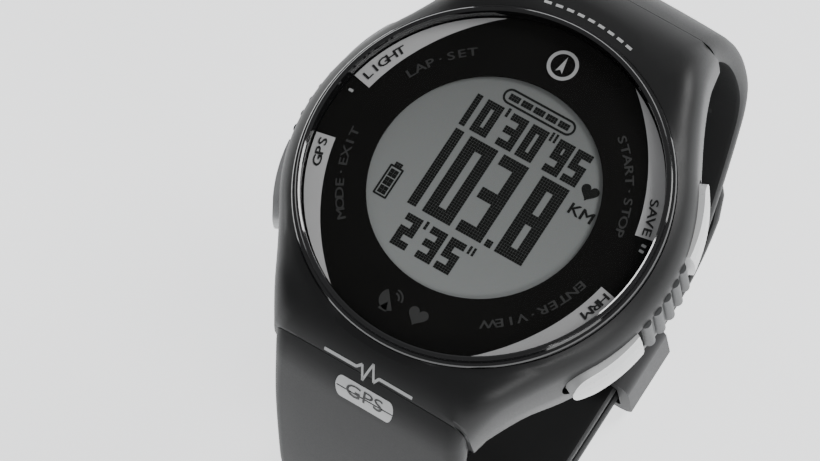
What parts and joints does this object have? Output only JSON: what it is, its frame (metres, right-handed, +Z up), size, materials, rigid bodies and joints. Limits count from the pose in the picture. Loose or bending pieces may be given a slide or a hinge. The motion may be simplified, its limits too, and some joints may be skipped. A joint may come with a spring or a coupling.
{
  "type": "gps running watch",
  "caption": "Running watch with a round segment display under a flat lens, gloss bezel, side buttons and grips, rear optical sensor, and a strap closed by buckle and keeper",
  "frame": {"origin": "On the axis of the round case, at the level of the flat underside of the keeper, which rests on a table", "axes": "X runs from nine to three o'clock, Y from six to twelve o'clock, Z up out of the display"},
  "size_m": [0.0462, 0.0652, 0.0598],
  "materials": {
    "soft_black": "matt",
    "case_plastic": "matt",
    "bezel_gloss": "gloss",
    "lens_clear": "gloss",
    "gasket": "matt",
    "mask_black": "satin",
    "arc_silver": "satin",
    "lcd": "satin",
    "light_plate": "matt",
    "frame_plastic": "matt",
    "board": "satin",
    "antenna_brass": "satin",
    "switch_metal": "satin",
    "battery_foil": "satin",
    "buzzer_brass": "satin",
    "back_plastic": "satin",
    "steel": "satin",
    "pod_plastic": "gloss",
    "window_dark": "gloss",
    "led_green": "gloss",
    "diode_dark": "gloss",
    "contact_gold": "satin",
    "grip_grey": "matt",
    "cap_grey": "satin",
    "strap_black": "matt",
    "buckle_black": "satin",
    "keeper_black": "matt"
  },
  "bodies": {
    "watch": {"case_shell": "soft_black", "inner_case": "case_plastic", "bezel_ring": "bezel_gloss", "lens": "lens_clear", "lens_gasket": "gasket", "dial_mask": "mask_black", "dial_arcs": "arc_silver", "lcd_panel": "lcd", "backlight": "light_plate", "module_frame": "frame_plastic", "main_pcb": "board", "gps_antenna": "antenna_brass", "tact_switches": "switch_metal", "battery": "battery_foil", "buzzer": "buzzer_brass", "back_gasket": "gasket", "case_back": "back_plastic", "back_screws": "steel", "sensor_pod": "pod_plastic", "sensor_window": "window_dark", "sensor_board": "board", "heart_leds": "led_green", "photodiode": "diode_dark", "charge_contacts": "contact_gold", "grip_right": "grip_grey", "grip_left": "grip_grey", "button_seals": "gasket", "strap_upper": "strap_black", "strap_lower": "strap_black", "strap_pin_upper": "steel", "strap_pin_lower": "steel", "buckle_bar": "steel"},
    "buckle": {"buckle_frame": "buckle_black"},
    "prong": {"buckle_prong": "steel"},
    "keeper": {"strap_keeper": "keeper_black"},
    "button_light": {"cap_light": "cap_grey", "stem_light": "steel", "clip_light": "steel"},
    "button_mode": {"cap_mode": "cap_grey", "stem_mode": "steel", "clip_mode": "steel"},
    "button_start": {"cap_start": "cap_grey", "stem_start": "steel", "clip_start": "steel"},
    "button_enter": {"cap_enter": "cap_grey", "stem_enter": "steel", "clip_enter": "steel"}
  },
  "joints": [
    {"name": "press_light", "type": "slide", "parent": "watch", "child": "button_light", "axis": [0.91, -0.4147, 0], "range_m": [0, 0.0006], "stiffness_N_per_m": 3000},
    {"name": "press_mode", "type": "slide", "parent": "watch", "child": "button_mode", "axis": [0.91, 0.4147, 0], "range_m": [0, 0.0006], "stiffness_N_per_m": 3000},
    {"name": "press_start", "type": "slide", "parent": "watch", "child": "button_start", "axis": [-0.91, -0.4147, 0], "range_m": [0, 0.0006], "stiffness_N_per_m": 3000},
    {"name": "press_enter", "type": "slide", "parent": "watch", "child": "button_enter", "axis": [-0.91, 0.4147, 0], "range_m": [0, 0.0006], "stiffness_N_per_m": 3000},
    {"name": "buckle_hinge", "type": "hinge", "parent": "watch", "child": "buckle", "pos_m": [0, -0.01523, 0.0063], "axis": [1, 0, 0], "range_deg": [-1, 2]},
    {"name": "prong_hinge", "type": "hinge", "parent": "buckle", "child": "prong", "pos_m": [0, -0.01523, 0.0063], "axis": [1, 0, 0], "range_deg": [0, 3]},
    {"name": "keeper_slide", "type": "slide", "parent": "watch", "child": "keeper", "axis": [0, -1, 0], "range_m": [0, 0.0045]}
  ]
}
